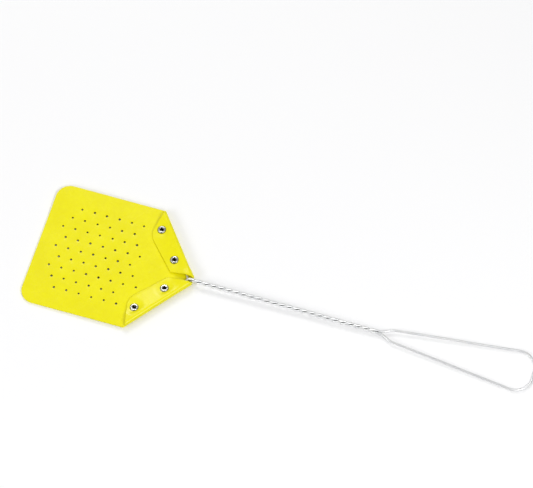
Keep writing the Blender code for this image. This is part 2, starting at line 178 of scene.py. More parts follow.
# Rivets
RIVET_ALONG = (17 * MM, 48.5 * MM)  # along the fold from the head's corner
RIVET_FROM_FOLD = 10.1 * MM
RIVET_HEAD_RADIUS = 4.2 * MM
RIVET_RIM = 0.22 * MM  # radius of the head's round edge
DOME_HEIGHT = 0.45 * MM
DOME_SHARE = 0.96  # of the head's radius
RIVET_SHANK_RADIUS = 2 * MM
SHANK_FILLET = 0.1 * MM
RIVET_BORE_RADIUS = 1.5 * MM
BORE_FLOOR = 0.2 * MM  # above the sheet's middle surface
BORE_TIP = 0.2 * MM  # how far the drill's point went below that
BORE_CORNER = 0.25 * MM  # height of the slope between the bore's side and its floor
BORE_DRAFT = 0.98  # the bore's radius there, as a share of that at its mouth
BORE_FLOOR_SHARE = 0.7  # and at its floor
RIVET_HOLE_GAP = 0.25 * MM
CLINCH_RADIUS = 3.5 * MM
CLINCH_HEIGHT = 1.05 * MM
CLINCH_SINK = 0.06 * MM  # into the leather
CLINCH_UNDERCUT = 0.36 * MM  # radius of the rolled end's curl back under itself
CLINCH_ROLL = 0.97 * MM  # from the roll's crest out to its edge, and in to the bore
RIVET_SEGMENTS = 72
RING_START = 0.99 * RIVET_SHANK_RADIUS  # the ring is from here out
RING_DEPTH = 0.15 * MM  # and from this far below the top of the flap up
CLINCH_SPLITS = 6
SPLIT_STRAY = 0.25  # of the way to the next
SPLIT_DEPTH = 0.07 * MM
SPLIT_WIDTH = 0.13  # radians to each side
SPLIT_DROP = 0.8  # how far a split's edge is down, as a share of its depth
CLINCH_UNEVEN = 0.05 * MM
CLINCH_UNEVEN_WAVES = 1.6  # of that unevenness, in about a radian
BORE_SHADE_SPREAD = 0.28 * MM  # how far the bore's painted shade spreads onto the roll
DARK_SHARE = 0.8  # of the clinch's height, up to which that painted shade can be
SHARP_ANGLE = math.radians(50)

# Colours, linear, and what goes with them. A pair is from darker to paler.
LEATHER_DYE = ((0.855, 0.79, 0.0015), (0.905, 0.85, 0.0025))
LEATHER_FLECK = (0.80, 0.71, 0.004)
# Painted shade: a dark line on the leather round each rivet's ring, standing in for the shadow in
# its crevice
RIVET_CREVICE_SHADE = (0.045, 0.035, 0.008)
RIVET_SHADE_FADE_START = 0.1 * MM  # from the rivet's ring, where its painted line of crevice shade starts to fade
RIVET_SHADE_WIDTH = 0.5 * MM  # from the ring to where that line ends
# Painted shade: a dark ring on the leather's top round each punched hole, so that the holes look
# shaded
HOLE_SHADE_RIM = (0.12, 0.07, 0.007)
HOLE_SHADE_SHARE = 0.85  # how much of that painted shade covers the dye at a hole's edge
CUT_FIBRES = ((0.84, 0.74, 0.004), (0.93, 0.87, 0.008))
# Painted shade on the walls of the punched holes
HOLE_WALL_SHADE = (0.045, 0.025, 0.005)
ZINC = ((0.85, 0.86, 0.87), (0.93, 0.93, 0.92))
ZINC_SPECK = (0.60, 0.61, 0.62)
# Painted shade in the groove where the twist's two strands touch
GROOVE_SHADE = (0.045, 0.05, 0.05)
NICKEL = ((0.50, 0.51, 0.47), (0.64, 0.64, 0.60))
# Painted shade inside the rivets' bores
BORE_SHADE = ((0.012, 0.011, 0.010), (0.05, 0.045, 0.04))
FLOOR_WHITE = (0.96, 0.96, 0.965, 1)

# Where each unevenness reads the noise
SHEET_SEED = 2.7
FLAP_SEED = 5.1
TWIST_SEED = 8.3
LOOP_SEED = 9.9  # of the loop's -Y side
HANDLE_SEED = 3.3  # of the rest of the wire

# Places that follow from the frame and the sizes
FAR_X = HEAD_LOW.x
TIP_X = FAR_X + HEAD_LENGTH
CORNER_X = TIP_X - POINT_LENGTH
LOOP_END_X = WIRE_HIGH.x - WIRE_RADIUS
SPLIT_X = WIRE_HIGH.x - LOOP_LENGTH
TWIST_X = TIP_X - TWIST_START
FOLD_ANGLE = math.atan2((HEAD_WIDTH - TIP_WIDTH) / 2, POINT_LENGTH)
SHEET_Z = HEAD_LOW.z + SHEET / 2  # the sheet's middle surface
BEND_RADIUS = WIRE_RADIUS + FOLD_GAP + SHEET / 2
BEND_REACH = BEND_RADIUS + SHEET / 2  # from the wire's middle out to the folded edge
QUARTER_BEND = BEND_RADIUS * math.pi / 2  # along the cross section, to the fold's outermost point
WIRE_Z = SHEET_Z + BEND_RADIUS
LOW_STRAND_Z = SHEET_Z + SHEET / 2 + CONTACT + WIRE_RADIUS  # at the crossing
TWIST_Z = LOW_STRAND_Z + STRAND_OFFSET  # of the twist's middle there
TWIST_RATE = HALF_TURNS * math.pi / (SPLIT_X - TWIST_X - TWIST_EASE / 2)
FLAP_Z = SHEET + CONTACT  # of the pressed flap's middle surface over the sheet's

FOLD_DIRECTION = Vector((math.cos(FOLD_ANGLE), -math.sin(FOLD_ANGLE)))
FOLD_NORMAL = Vector((math.sin(FOLD_ANGLE), math.cos(FOLD_ANGLE)))
CORNER = Vector((CORNER_X, HEAD_WIDTH / 2))

# The flap's cross section as a chain of (length, turn): out from the sheet, round the wire and
# on to its free edge. Under the rivets it is pressed down onto the sheet.
DROP = (
    BEND_RADIUS * (1 + math.cos(FLAP_DROP_ANGLE))
    - FLAP_DROP_RADIUS * (1 - math.cos(FLAP_DROP_ANGLE))
    - FLAP_Z
)
ROUND_WIRE = math.pi + FLAP_DROP_ANGLE
PRESSED_CHAIN = (
    (BEND_RADIUS * ROUND_WIRE, ROUND_WIRE),
    (DROP / math.sin(FLAP_DROP_ANGLE), 0.0),
    (FLAP_DROP_RADIUS * FLAP_DROP_ANGLE, -FLAP_DROP_ANGLE),
    (FLAP_WIDTH, 0.0),
)
# Between the rivets it slopes down gently.
LOOSE_CHAIN = (
    (BEND_RADIUS * (math.pi + LOOSE_ROLL), math.pi + LOOSE_ROLL),
    (LOOSE_RADIUS * (LOOSE_ROLL - LOOSE_SLOPE), LOOSE_SLOPE - LOOSE_ROLL),
    (FLAP_WIDTH, 0.0),
)
# Near the tip its end stays up, and the wire comes out from under it.
OPEN_CHAIN = (
    (FLAP_OPEN_BEND_RADIUS * math.pi, math.pi),
    (FLAP_OPEN_LEVEL, 0.0),
    (FLAP_OPEN_RADIUS * FLAP_OPEN_SLOPE, FLAP_OPEN_SLOPE),
    (FLAP_WIDTH, 0.0),
)

# Each rivet's axis, from its CAD node
RIVET_CENTRES = {
    name: (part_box(f"rivet_{name}")[0].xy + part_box(f"rivet_{name}")[1].xy) / 2
    for name in ("left_outer", "left_inner", "right_outer", "right_inner")
}

chance = random.Random(7)


# ---------------------------------------------------------------- small helpers


def smooth_step(value):
    """0 below 0, 1 above 1, and a smooth rise between."""
    value = min(1.0, max(0.0, value))
    return value * value * (3 - 2 * value)


def wave(x, y, length, seed):
    """Smooth random unevenness between about -1 and 1, with waves of this length."""
    return noise.noise(Vector((x / length, y / length, seed)))


def spread(tree, source, low, high, start, end):
    """The source's values from start to end, spread from low to high."""
    node = tree.nodes.new("ShaderNodeMapRange")
    ends = (("From Min", start), ("From Max", end), ("To Min", low), ("To Max", high))
    for name, value in ends:
        node.inputs[name].default_value = value
    tree.links.new(source, node.inputs["Value"])
    return node.outputs["Result"]


def finished_mesh(name, mesh, **values):
    """The mesh of a bmesh, with the values that each vertex has for its material."""
    data = bpy.data.meshes.new(name)
    mesh.to_mesh(data)
    mesh.free()
    for key, value in values.items():
        data.attributes.new(key, "FLOAT", "POINT").data.foreach_set("value", value)
    return data


def add_piece(name, mesh, slot, *materials):
    """A new object with these materials, that rides on the only body. Its slot argument is not
    used.
    """
    piece = bpy.data.objects.new(name, mesh)
    for made in materials:
        mesh.materials.append(made)
    bpy.context.scene.collection.objects.link(piece)
    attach(piece, "root")
    return piece


# ---------------------------------------------------------------- camera, lights and floor


def aimed(data, azimuth, elevation, distance, target):
    """A camera or light in this direction and at this distance from the target it points at."""
    azimuth, elevation = math.radians(azimuth), math.radians(elevation)
    back = Vector(
        (
            math.sin(azimuth) * math.cos(elevation),
            -math.cos(azimuth) * math.cos(elevation),
            math.sin(elevation),
        )
    )
    made = bpy.data.objects.new(data.name, data)
    made.location = target + distance * back
    made.rotation_euler = back.to_track_quat("Z", "Y").to_euler()
    bpy.context.scene.collection.objects.link(made)
    return made


def camera():
    """A long lens, well above the swatter and a little to the handle's side."""
    data = bpy.data.cameras.new("camera")
    data.sensor_width = SENSOR_WIDTH
    data.lens = FOCAL_LENGTH
    data.clip_start = 0.05
    data.clip_end = 50
    made = aimed(data, CAMERA_AZIMUTH, CAMERA_ELEVATION, CAMERA_DISTANCE, CAMERA_TARGET)
    bpy.context.scene.camera = made


def soft_light(name, azimuth, elevation, distance, size, power):
    """An oval soft box of this width and height, pointed at the middle of the swatter."""
    data = bpy.data.lights.new(name, "AREA")
    data.shape = "ELLIPSE"
    data.size, data.size_y = size
    data.energy = power
    aimed(data, azimuth, elevation, distance, Vector((0, 0, 0)))


def white_tent():
    """A white surround that is greyer near the floor, so that the metal has something to mirror."""
    world = bpy.data.worlds.new("studio")
    world.use_nodes = True
    tree = world.node_tree
    background = tree.nodes["Background"]
    background.inputs["Color"].default_value = (1.0, 1.0, 1.0, 1)
    direction = tree.nodes.new("ShaderNodeSeparateXYZ")
    coordinates = tree.nodes.new("ShaderNodeTexCoord").outputs["Generated"]
    tree.links.new(coordinates, direction.inputs["Vector"])
    strength = spread(tree, direction.outputs["Z"], *TENT_BRIGHTNESS, *TENT_HEIGHTS)
    tree.links.new(strength, background.inputs["Strength"])
    bpy.context.scene.world = world
    bpy.context.scene.view_settings.view_transform = "Standard"


def paper_floor():
    """A matt white floor."""
    mesh = bpy.data.meshes.new("floor")
    far = FLOOR_REACH
    corners = [(-far, -far, 0), (far, -far, 0), (far, far, 0), (-far, far, 0)]
    mesh.from_pydata(corners, [], [(0, 1, 2, 3)])
    floor = bpy.data.objects.new("floor", mesh)
    paper = bpy.data.materials.new("white paper")
    paper.use_nodes = True
    shader = paper.node_tree.nodes["Principled BSDF"]
    shader.inputs["Base Color"].default_value = FLOOR_WHITE
    shader.inputs["Roughness"].default_value = 0.9
    shader.inputs["Specular IOR Level"].default_value = 0.1
    mesh.materials.append(paper)
    bpy.context.scene.collection.objects.link(floor)


def studio():
    """Three soft lights, and a pale floor in a white tent."""
    soft_light("main light", 60, 51, 1.6, (0.7, 0.7), 10.6)
    soft_light("back light", 210, 42, 1.7, (0.4, 0.6), 7.0)
    soft_light("fill light", -48, 29, 1.6, (1.1, 0.5), 6.6)
    white_tent()
    paper_floor()


# ---------------------------------------------------------------- materials


class Nodes:
    """A material whose Principled shader is fed by a few procedural nodes."""

    def __init__(self, name):
        self.material = bpy.data.materials.new(name)
        self.material.use_nodes = True
        self.tree = self.material.node_tree
        self.inputs = self.tree.nodes["Principled BSDF"].inputs
        self.place = self.add("ShaderNodeTexCoord").outputs["Object"]

    def add(self, kind, **settings):
        node = self.tree.nodes.new(kind)
        for name, value in settings.items():
            setattr(node, name, value)
        return node

    def link(self, source, target):
        self.tree.links.new(source, target)

    def feed(self, **values):
        """Feeds the shader's inputs, each with an output or with a plain number."""
        for name, value in values.items():
            target = self.inputs[name.replace("_", " ")]
            if isinstance(value, float):
                target.default_value = value
            else:
                self.link(value, target)

    def noise(self, size, detail=2.0, place=None):
        """Soft noise with features of about this size."""
        node = self.add("ShaderNodeTexNoise")
        node.inputs["Scale"].default_value = 1 / size
        node.inputs["Detail"].default_value = detail
        self.link(place or self.place, node.inputs["Vector"])
        return node.outputs["Fac"]

    def cells(self, size):
        """Small rounded cells of about this size."""
        node = self.add("ShaderNodeTexVoronoi", feature="F1")
        node.inputs["Scale"].default_value = 1 / size
        self.link(self.place, node.inputs["Vector"])
        return node.outputs["Distance"]

    def stored(self, name):
        """A value that the mesh has at each vertex."""
        return self.add("ShaderNodeAttribute", attribute_name=name).outputs["Fac"]

    def ranged(self, source, low, high, start=0.3, end=0.7):
        """The source's values from start to end, spread from low to high."""
        return spread(self.tree, source, low, high, start, end)

    def mixed(self, amount, colour_a, colour_b):
        """A colour between two, which are colours or other outputs."""
        node = self.add("ShaderNodeMix", data_type="RGBA")
        for name, value in ((6, colour_a), (7, colour_b)):
            if isinstance(value, tuple):
                node.inputs[name].default_value = (*value, 1)
            else:
                self.link(value, node.inputs[name])
        self.link(amount, node.inputs[0])
        return node.outputs[2]

    def varied(self, source, pair):
        """A colour that goes from one of a pair to the other with the source."""
        return self.mixed(self.ranged(source, 0, 1), *pair)

    def bump(self, height, distance, below=None):
        """A bump of this depth, on top of another one."""
        node = self.add("ShaderNodeBump")
        node.inputs["Strength"].default_value = 1.0
        node.inputs["Distance"].default_value = distance
        self.link(height, node.inputs["Height"])
        if below:
            self.link(below, node.inputs["Normal"])
        return node.outputs["Normal"]

    def nearest(self, axes):
        """The distance to the nearest of some upright axes."""
        level = self.stretched((1, 1, 0))
        least = None
        for axis in axes:
            away = self.add("ShaderNodeVectorMath", operation="DISTANCE")
            self.link(level, away.inputs[0])
            away.inputs[1].default_value = (*axis, 0)
            if least:
                less = self.add("ShaderNodeMath", operation="MINIMUM")
                self.link(least, less.inputs[0])
                self.link(away.outputs["Value"], less.inputs[1])
            least = less.outputs["Value"] if least else away.outputs["Value"]
        return least

    def stretched(self, scale):
        """The object's coordinates, scaled along each axis."""
        node = self.add("ShaderNodeMapping")
        node.inputs["Scale"].default_value = scale
        self.link(self.place, node.inputs["Vector"])
        return node.outputs["Vector"]


def smooth_leather():
    """Dyed, rolled leather: a close, shallow grain and a quiet satin finish, with painted shade
    round the rivets' rings and the punched holes.
    """
    made = Nodes("yellow leather")
    dyed = made.varied(made.noise(28 * MM, 3.0), LEATHER_DYE)
    flecks = made.ranged(made.noise(3.5 * MM), 0.0, 0.35)
    flecked = made.mixed(flecks, dyed, LEATHER_FLECK)
    # Painted shade: a dark line round each rivet's ring, in place of the crevice's shadow
    shade_start = CLINCH_RADIUS + RIVET_SHADE_FADE_START
    shade_end = CLINCH_RADIUS + RIVET_SHADE_WIDTH
    rivet_shade = made.ranged(made.nearest(RIVET_CENTRES.values()), 1, 0, shade_start, shade_end)
    rivet_shaded = made.mixed(rivet_shade, flecked, RIVET_CREVICE_SHADE)
    # Painted shade round the punched holes, placed by the punched mask
    rim = made.ranged(made.stored("punched"), 0, HOLE_SHADE_SHARE, 0.5, 1.0)
    grain = made.bump(made.cells(0.8 * MM), 0.03 * MM)
    pores = made.bump(made.noise(0.35 * MM), 0.02 * MM, grain)
    slack = made.bump(made.noise(7 * MM), 0.12 * MM, pores)
    made.feed(
        Base_Color=made.mixed(rim, rivet_shaded, HOLE_SHADE_RIM),
        Roughness=made.ranged(made.noise(12 * MM, 3.0), 0.25, 0.29),
        Specular_IOR_Level=0.28,
        Normal=slack,
    )
    return made.material


def cut_leather():
    """The cut edge: the same dye, with the fibres of the core showing, and painted dark shade on
    the walls of the punched holes.
    """
    made = Nodes("cut edge of the leather")
    fibres = made.noise(0.6 * MM, 4.0, made.stretched((1, 1, 3)))
    dyed = made.varied(fibres, CUT_FIBRES)
    made.feed(
        Base_Color=made.mixed(made.stored("punched"), dyed, HOLE_WALL_SHADE),
        Roughness=0.85,
        Specular_IOR_Level=0.2,
        Normal=made.bump(fibres, 0.12 * MM),
    )
    return made.material


def galvanised_wire():
    """Drawn steel wire with a thin, slightly cloudy coat of zinc, and painted shade in the groove
    between the twisted strands.
    """
    made = Nodes("galvanised wire")
    zinc = made.varied(made.noise(6 * MM, 3.0), ZINC)
    specks = made.noise(0.7 * MM, 3.0)
    speckled = made.mixed(made.ranged(specks, 0.0, 0.3), zinc, ZINC_SPECK)
    drawn = made.bump(specks, 0.01 * MM)
    made.feed(
        Base_Color=made.mixed(made.stored("groove"), speckled, GROOVE_SHADE),
        Metallic=1.0,
        Roughness=made.ranged(specks, 0.36, 0.52),
        Normal=made.bump(made.noise(2.2 * MM), 0.03 * MM, drawn),
    )
    return made.material


def nickel_plate():
    """Bright nickel on steel, a little scuffed by the setting tool."""
    made = Nodes("nickel-plated steel")
    haze = made.noise(1.6 * MM, 3.0)
    made.feed(
        Base_Color=made.varied(haze, NICKEL),
        Metallic=1.0,
        Roughness=made.ranged(haze, 0.16, 0.30),
        Normal=made.bump(made.noise(0.5 * MM), 0.008 * MM),
    )
    return made.material


def shaded_bore():
    """The bore's inside, painted near black as shade."""
    made = Nodes("dark bore of a rivet")
    shade_noise = made.noise(0.6 * MM)
    made.feed(Base_Color=made.varied(shade_noise, BORE_SHADE), Metallic=0.6, Roughness=0.6)
    return made.material


# ---------------------------------------------------------------- outlines and folds


def chain_point(distance, chain):
    """(outwards, upwards) at a distance along a flap's cross section."""
    out, up, heading = 0.0, 0.0, 0.0
    for length, turn in chain:
        part = min(distance, length)
        if turn:
            radius = length / turn
            end = heading + turn * part / length
            out += radius * (math.sin(end) - math.sin(heading))
            up += radius * (math.cos(heading) - math.cos(end))
            heading = end
        else:
            out += part * math.cos(heading)
            up += part * math.sin(heading)
        distance -= part
        if distance <= 0:
            break
    return Vector((out, up))


def flat_distance(from_fold):
    """The distance along the pressed cross section of the point this far from the folded edge."""
    low, high = QUARTER_BEND, sum(length for length, _ in PRESSED_CHAIN)
    for _ in range(40):  # halvings, more than enough
        middle = (low + high) / 2
        if BEND_REACH - chain_point(middle, PRESSED_CHAIN).x < from_fold:
            low = middle
        else:
            high = middle
    return low


def spaced(start, end, step):
    """Even steps of about this length from start to end."""
    count = max(1, round((end - start) / step))
    return [start + (end - start) * (i + 1) / count for i in range(count)]


def fold_lines():
    """The distances along the cross section where the mesh needs a line."""
    lengths = [length for length, _ in PRESSED_CHAIN]
    rolled, flat = lengths[0], sum(lengths[:3])
    return [
        0.0,
        *spaced(0.0, rolled, FOLD_LINE_STEP * BEND_RADIUS),
        *spaced(rolled, flat, DROP_LINE_STEP),
        *spaced(flat, flat + FLAP_WIDTH / 3, FLAP_LINE_STEP),
    ]


def on_pattern(along, distance):
    """A point of the flat cut: along the +Y fold from the head's corner, and out past its bend."""
    return CORNER + along * FOLD_DIRECTION + (distance - BEND_REACH) * FOLD_NORMAL


def filleted(corners, closed=False, step=math.radians(4)):
    """The points of a path whose corners, given as (point, radius), are rounded."""
    made, last = [], len(corners) - 1
    for i, (corner, radius) in enumerate(corners):
        if radius == 0 or (not closed and i in (0, last)):
            made.append(corner)
            continue
        back = (corners[i - 1][0] - corner).normalized()
        ahead = (corners[(i + 1) % len(corners)][0] - corner).normalized()
        half = back.angle(ahead) / 2
        centre = corner + (back + ahead).normalized() * radius / math.sin(half)
        start = corner + back * radius / math.tan(half) - centre
        turn = math.pi - 2 * half
        if start.x * back.y - start.y * back.x > 0:
            turn = -turn
        steps = max(2, round(abs(turn) / step))
        for k in range(steps + 1):
            cos, sin = math.cos(turn * k / steps), math.sin(turn * k / steps)
            turned = Vector((start.x * cos - start.y * sin, start.x * sin + start.y * cos))
            made.append(centre + turned)
    return made


def mirrored(corners):
    """The same (point, radius) corners on the other side of the swatter, in reverse order."""
    return [(Vector((p.x, -p.y)), radius) for p, radius in reversed(corners)]


def subdivided(points, step, closed=False):
    """The same path with extra points along its long straight stretches."""
    made = []
    following = points[1:] + points[:1] if closed else points[1:]
    for a, b in zip(points, following):
        parts = max(1, round((b - a).length / step))
        made += [a.lerp(b, i / parts) for i in range(parts)]
    return made if closed else made + [points[-1]]


def inset(loop, width):
    """The anticlockwise loop, moved inwards."""
    made = []
    for before, at, after in zip(loop[-1:] + loop[:-1], loop, loop[1:] + loop[:1]):
        sides = [(at - before).normalized(), (after - at).normalized()]
        a, b = [Vector((-side.y, side.x)) for side in sides]
        made.append(at + width * (a + b) / (1 + a.dot(b)))
    return made


def crossing(a, a_direction, b, b_direction):
    """Where two lines in the plane cross."""
    a_reach = a_direction.normalized()
    b_reach = b_direction.normalized()
    return intersect_line_line_2d(a - a_reach, a + a_reach, b - b_reach, b + b_reach)


def cut_outline():
    """The flat cut's outline, anticlockwise, as the +Y half and its mirror image."""
    wall = on_pattern(0, WIRE_RADIUS + FOLD_GAP)  # on the folded edge's inner side
    strand_side = STRAND_OFFSET + WIRE_RADIUS + FOLD_GAP
    fold_end = (wall.y - strand_side) / math.sin(FOLD_ANGLE)
    apex = HEAD_WIDTH / 2 / math.sin(FOLD_ANGLE)  # where the two folded edges would meet

    end_side = (apex - fold_end) * math.sin(FOLD_ANGLE) - FLAP_SPACING / 2
    tip_width = end_side / math.cos(FOLD_ANGLE)
    inner_side = FLAP_INNER_SPACING / 2 + FLAP_END_WIDTH * math.cos(FOLD_ANGLE)
    end_along = apex - inner_side / math.sin(FOLD_ANGLE)
    end_corner = on_pattern(end_along, flat_distance(FLAP_END_WIDTH))
    wide = on_pattern(0, flat_distance(FLAP_WIDTH)) + FLAP_CORNER_RADIUS * FOLD_DIRECTION
    side_corner = crossing(end_corner, wide - end_corner, CORNER, Vector((1, 0)))
    half = [
        (Vector((TIP_X, TONGUE_WIDTH / 2)), 0),
        (on_pattern(fold_end, SHEET / 2), 0),
        (on_pattern(fold_end, flat_distance(tip_width)), 0),
        (end_corner, FLAP_END_RADIUS),
        (side_corner, FLAP_CORNER_RADIUS),
        (Vector((FAR_X, HEAD_WIDTH / 2)), FAR_CORNER_RADIUS),
    ]
    return filleted(half + mirrored(half), closed=True)


def area_of(loop):
    """The area inside a loop."""
    pairs = zip(loop, loop[1:] + loop[:1])
    return abs(sum(a.x * b.y - a.y * b.x for a, b in pairs)) / 2


# ---------------------------------------------------------------- leather head


def punched_holes():
    """(centre, radius) of the small holes, each a little off its place."""
    middle_row = (len(HOLE_ROW_STARTS) - 1) / 2
    made = []
    for row, (start, count) in enumerate(zip(HOLE_ROW_STARTS, HOLE_ROW_COUNTS)):
        for i in range(count):
            x = FAR_X + FIRST_HOLE_FROM_END + (start / 2 + i) * HOLE_STEP
            y = (row - middle_row) * HOLE_ROW_SPACING
            stray = Vector((chance.uniform(-1, 1), chance.uniform(-1, 1))) * HOLE_STRAY
            made.append((Vector((x, y)) + stray, HOLE_RADIUS * chance.uniform(*HOLE_SIZES)))
    return made


def rivet_holes():
    """(centre, radius) of the rivets' holes in the flat cut, in sheet and flap."""
    radius = RIVET_SHANK_RADIUS + RIVET_HOLE_GAP
    made = []
    for along in RIVET_ALONG:
        in_sheet = CORNER + along * FOLD_DIRECTION - RIVET_FROM_FOLD * FOLD_NORMAL
        in_flap = on_pattern(along, flat_distance(RIVET_FROM_FOLD))
        for side in (1, -1):
            made += [(Vector((p.x, side * p.y)), radius) for p in (in_sheet, in_flap)]
    return made


def ring(centre, radius):
    """The corners of a round hole."""
    turn = 2 * math.pi / HOLE_SIDES
    return [
        centre + radius * Vector((math.cos(i * turn), math.sin(i * turn)))
        for i in range(HOLE_SIDES)
    ]


def from_bend(point):
    """How far a point of the flat cut is past the start of its fold's bend."""
    return (Vector((point.x, abs(point.y))) - CORNER).dot(FOLD_NORMAL) + BEND_REACH


def lattice(loops, lines):
    """Evenly spread points between the loops and clear of the fold lines."""
    made = []
    drawn = np.array([tuple(p) for loop in loops for p in loop])
    lines = np.array(lines)
    low, high = drawn.min(axis=0), drawn.max(axis=0)
    row_step = MESH_STEP * math.sqrt(3) / 2
    for row in range(int((high[1] - low[1]) / row_step) + 1):
        y = low[1] + row * row_step
        for column in range(int((high[0] - low[0]) / MESH_STEP) + 1):
            point = Vector((low[0] + (column + row % 2 / 2) * MESH_STEP, y))
            from_loops = np.hypot(drawn[:, 0] - point.x, drawn[:, 1] - y).min()
            if from_loops < CLEAR_OF_LOOPS:
                continue
            if np.abs(lines - from_bend(point)).min() < CLEAR_OF_FOLD_LINES:
                continue
            made.append(point)
    return made


def edge_depths():
    """Depths in from a cut edge, and the sheet's share of its thickness there."""
    full = SHEET / 2
    made = []
    for share in ROUNDING_SHARES:
        depth = share * EDGE_ROUNDING
        rise = math.sqrt(EDGE_ROUNDING**2 - (EDGE_ROUNDING - depth) ** 2)
        made.append((depth, (full - EDGE_ROUNDING + rise) / full))
    return made + [(2 * EDGE_ROUNDING, 1.0)]


def fold_line_points(distance, side):
    """Points along one fold line, from beyond one end of the cut to beyond the other."""
    length = (HEAD_WIDTH - TIP_WIDTH) / 2 / math.sin(FOLD_ANGLE) + FOLD_LINES_BEYOND
    count = round(length / FOLD_STEP)
    for i in range(count + 1):
        point = on_pattern(length * i / count - FOLD_LINES_BEFORE, distance)
        if point.y > 0:
            yield Vector((point.x, side * point.y))


def flat_cut():
    """The flat cut as a fine bmesh in the plane, with its outline and its holes."""
    outline = subdivided(cut_outline(), OUTLINE_STEP, closed=True)
    holes = [*punched_holes(), *rivet_holes()]
    depths = edge_depths()
    loops = [inset(outline, depth) if depth else outline for depth, _ in depths]
    for centre, radius in holes:
        loops += [ring(centre, radius + depth) for depth, _ in depths]
    lines = fold_lines()
    points, edges = [], []
    for loop in loops:
        first, count = len(points), len(loop)
        points += loop
        edges += [(first + i, first + (i + 1) % count) for i in range(count)]
    for distance in lines:
        for side in (1, -1):
            first = len(points)
            points += fold_line_points(distance, side)
            edges += [(i, i + 1) for i in range(first, len(points) - 1)]
    points += lattice(loops, lines)
    inside = 1  # delaunay_2d_cdt's output of the triangles within the outermost edges
    made, _, faces, *_ = delaunay_2d_cdt(points, edges, [], inside, MERGE_DISTANCE)

    mesh = bmesh.new()
    vertices = [mesh.verts.new((p.x, p.y, 0)) for p in made]
    centres = np.array([tuple(centre) for centre, _ in holes])
    radii = np.array([radius for _, radius in holes])
    for face in faces:
        middle = sum((made[i] for i in face), Vector((0, 0))) / len(face)
        away = np.hypot(centres[:, 0] - middle.x, centres[:, 1] - middle.y)
        if (away > radii * IN_HOLE).all():
            mesh.faces.new([vertices[i] for i in face]).smooth = True
    loose = [v for v in mesh.verts if not v.link_faces]
    bmesh.ops.delete(mesh, geom=loose, context="VERTS")
    return mesh, outline, holes


def cut_distance(mesh, outline, holes):
    """Each vertex's distance from the nearest cut edge."""
    at = np.array([v.co[:2] for v in mesh.verts])
    corners = np.array([tuple(p) for p in outline])
    sides = np.roll(corners, -1, axis=0) - corners
    nearest = np.full(len(at), np.inf)
    for start, vector in zip(corners, sides):
        share = np.clip(((at - start) @ vector) / (vector @ vector), 0, 1)
        away = at - start - share[:, None] * vector
        nearest = np.minimum(nearest, np.hypot(away[:, 0], away[:, 1]))
    for centre, radius in holes:
        away = np.hypot(at[:, 0] - centre.x, at[:, 1] - centre.y) - radius
        nearest = np.minimum(nearest, np.abs(away))
    return nearest


def rivet_pull(x, y):
    """0 to 1: how much the nearest rivet holds the leather down at this place."""
    nearest = min((Vector((x, y)) - centre).length for centre in RIVET_CENTRES.values())
    return 1 - smooth_step((nearest - CLINCH_RADIUS) / RIVET_DIMPLE_WIDTH)


def sheet_sag(x, y):
    """How far the open sheet's middle surface is off level."""
    open_length = CORNER_X - FAR_X - 2 * LEVEL_MARGIN
    reach = smooth_step((CORNER_X - LEVEL_MARGIN - x) / open_length)
    across = y / (HEAD_WIDTH / 2)
    curl = FAR_CORNER_CURL * reach * smooth_step(across - CURL_START)
    waves = WAVE_HEIGHT * reach * (wave(x, y, WAVE_LENGTH, SHEET_SEED) + WAVE_RISE)
    return max(-FAR_EDGE_DROP * reach + curl + waves, -LOWEST_DROP)


def flap_lift(along, from_fold, side):
    """How far the flap's free edge stands off, unevenly."""
    edge = smooth_step((from_fold - RIVET_FROM_FOLD) / (FLAP_WIDTH - RIVET_FROM_FOLD))
    uneven = LIFT_MEAN + wave(along, side * MM, LIFT_LENGTH, FLAP_SEED)
    return FREE_EDGE_LIFT * edge * max(0.0, uneven)


def shaped(point):
    """Where a point of the flat cut's middle surface lies on the finished head."""
    side = -1 if point.y < 0 else 1
    flat = Vector((point.x, abs(point.y)))
    distance = from_bend(point)
    if distance <= 0:
        z = SHEET_Z + sheet_sag(point.x, point.y)
        z -= RIVET_DIMPLE * rivet_pull(point.x, point.y)
        return Vector((point.x, point.y, z))
    along = (flat - CORNER).dot(FOLD_DIRECTION)
    pressed = chain_point(distance, PRESSED_CHAIN)
    under = flat + (pressed.x - distance) * FOLD_NORMAL
    on_top = smooth_step((distance - QUARTER_BEND) / BEND_RADIUS)
    pull = RIVET_HOLD * rivet_pull(under.x, side * under.y) * on_top
    opening = smooth_step((along - FLAP_OPENING_START) / FLAP_OPENING_LENGTH)
    closed = chain_point(distance, LOOSE_CHAIN).lerp(pressed, pull)
    out, up = closed.lerp(chain_point(distance, OPEN_CHAIN), opening)
    filled = smooth_step((along - FLAT_FOLD_END) / (FULL_FOLD_START - FLAT_FOLD_END))
    up *= 1 - FOLD_FLATTENING * (1 - filled)
    if out < 0:
        up += flap_lift(along, BEND_REACH - out, side) * (1 - pull)
        up = max(up, FLAP_Z)
    up -= RIVET_DIMPLE * pull
    flat += (out - distance) * FOLD_NORMAL
    return Vector((flat.x, side * flat.y, SHEET_Z + up))


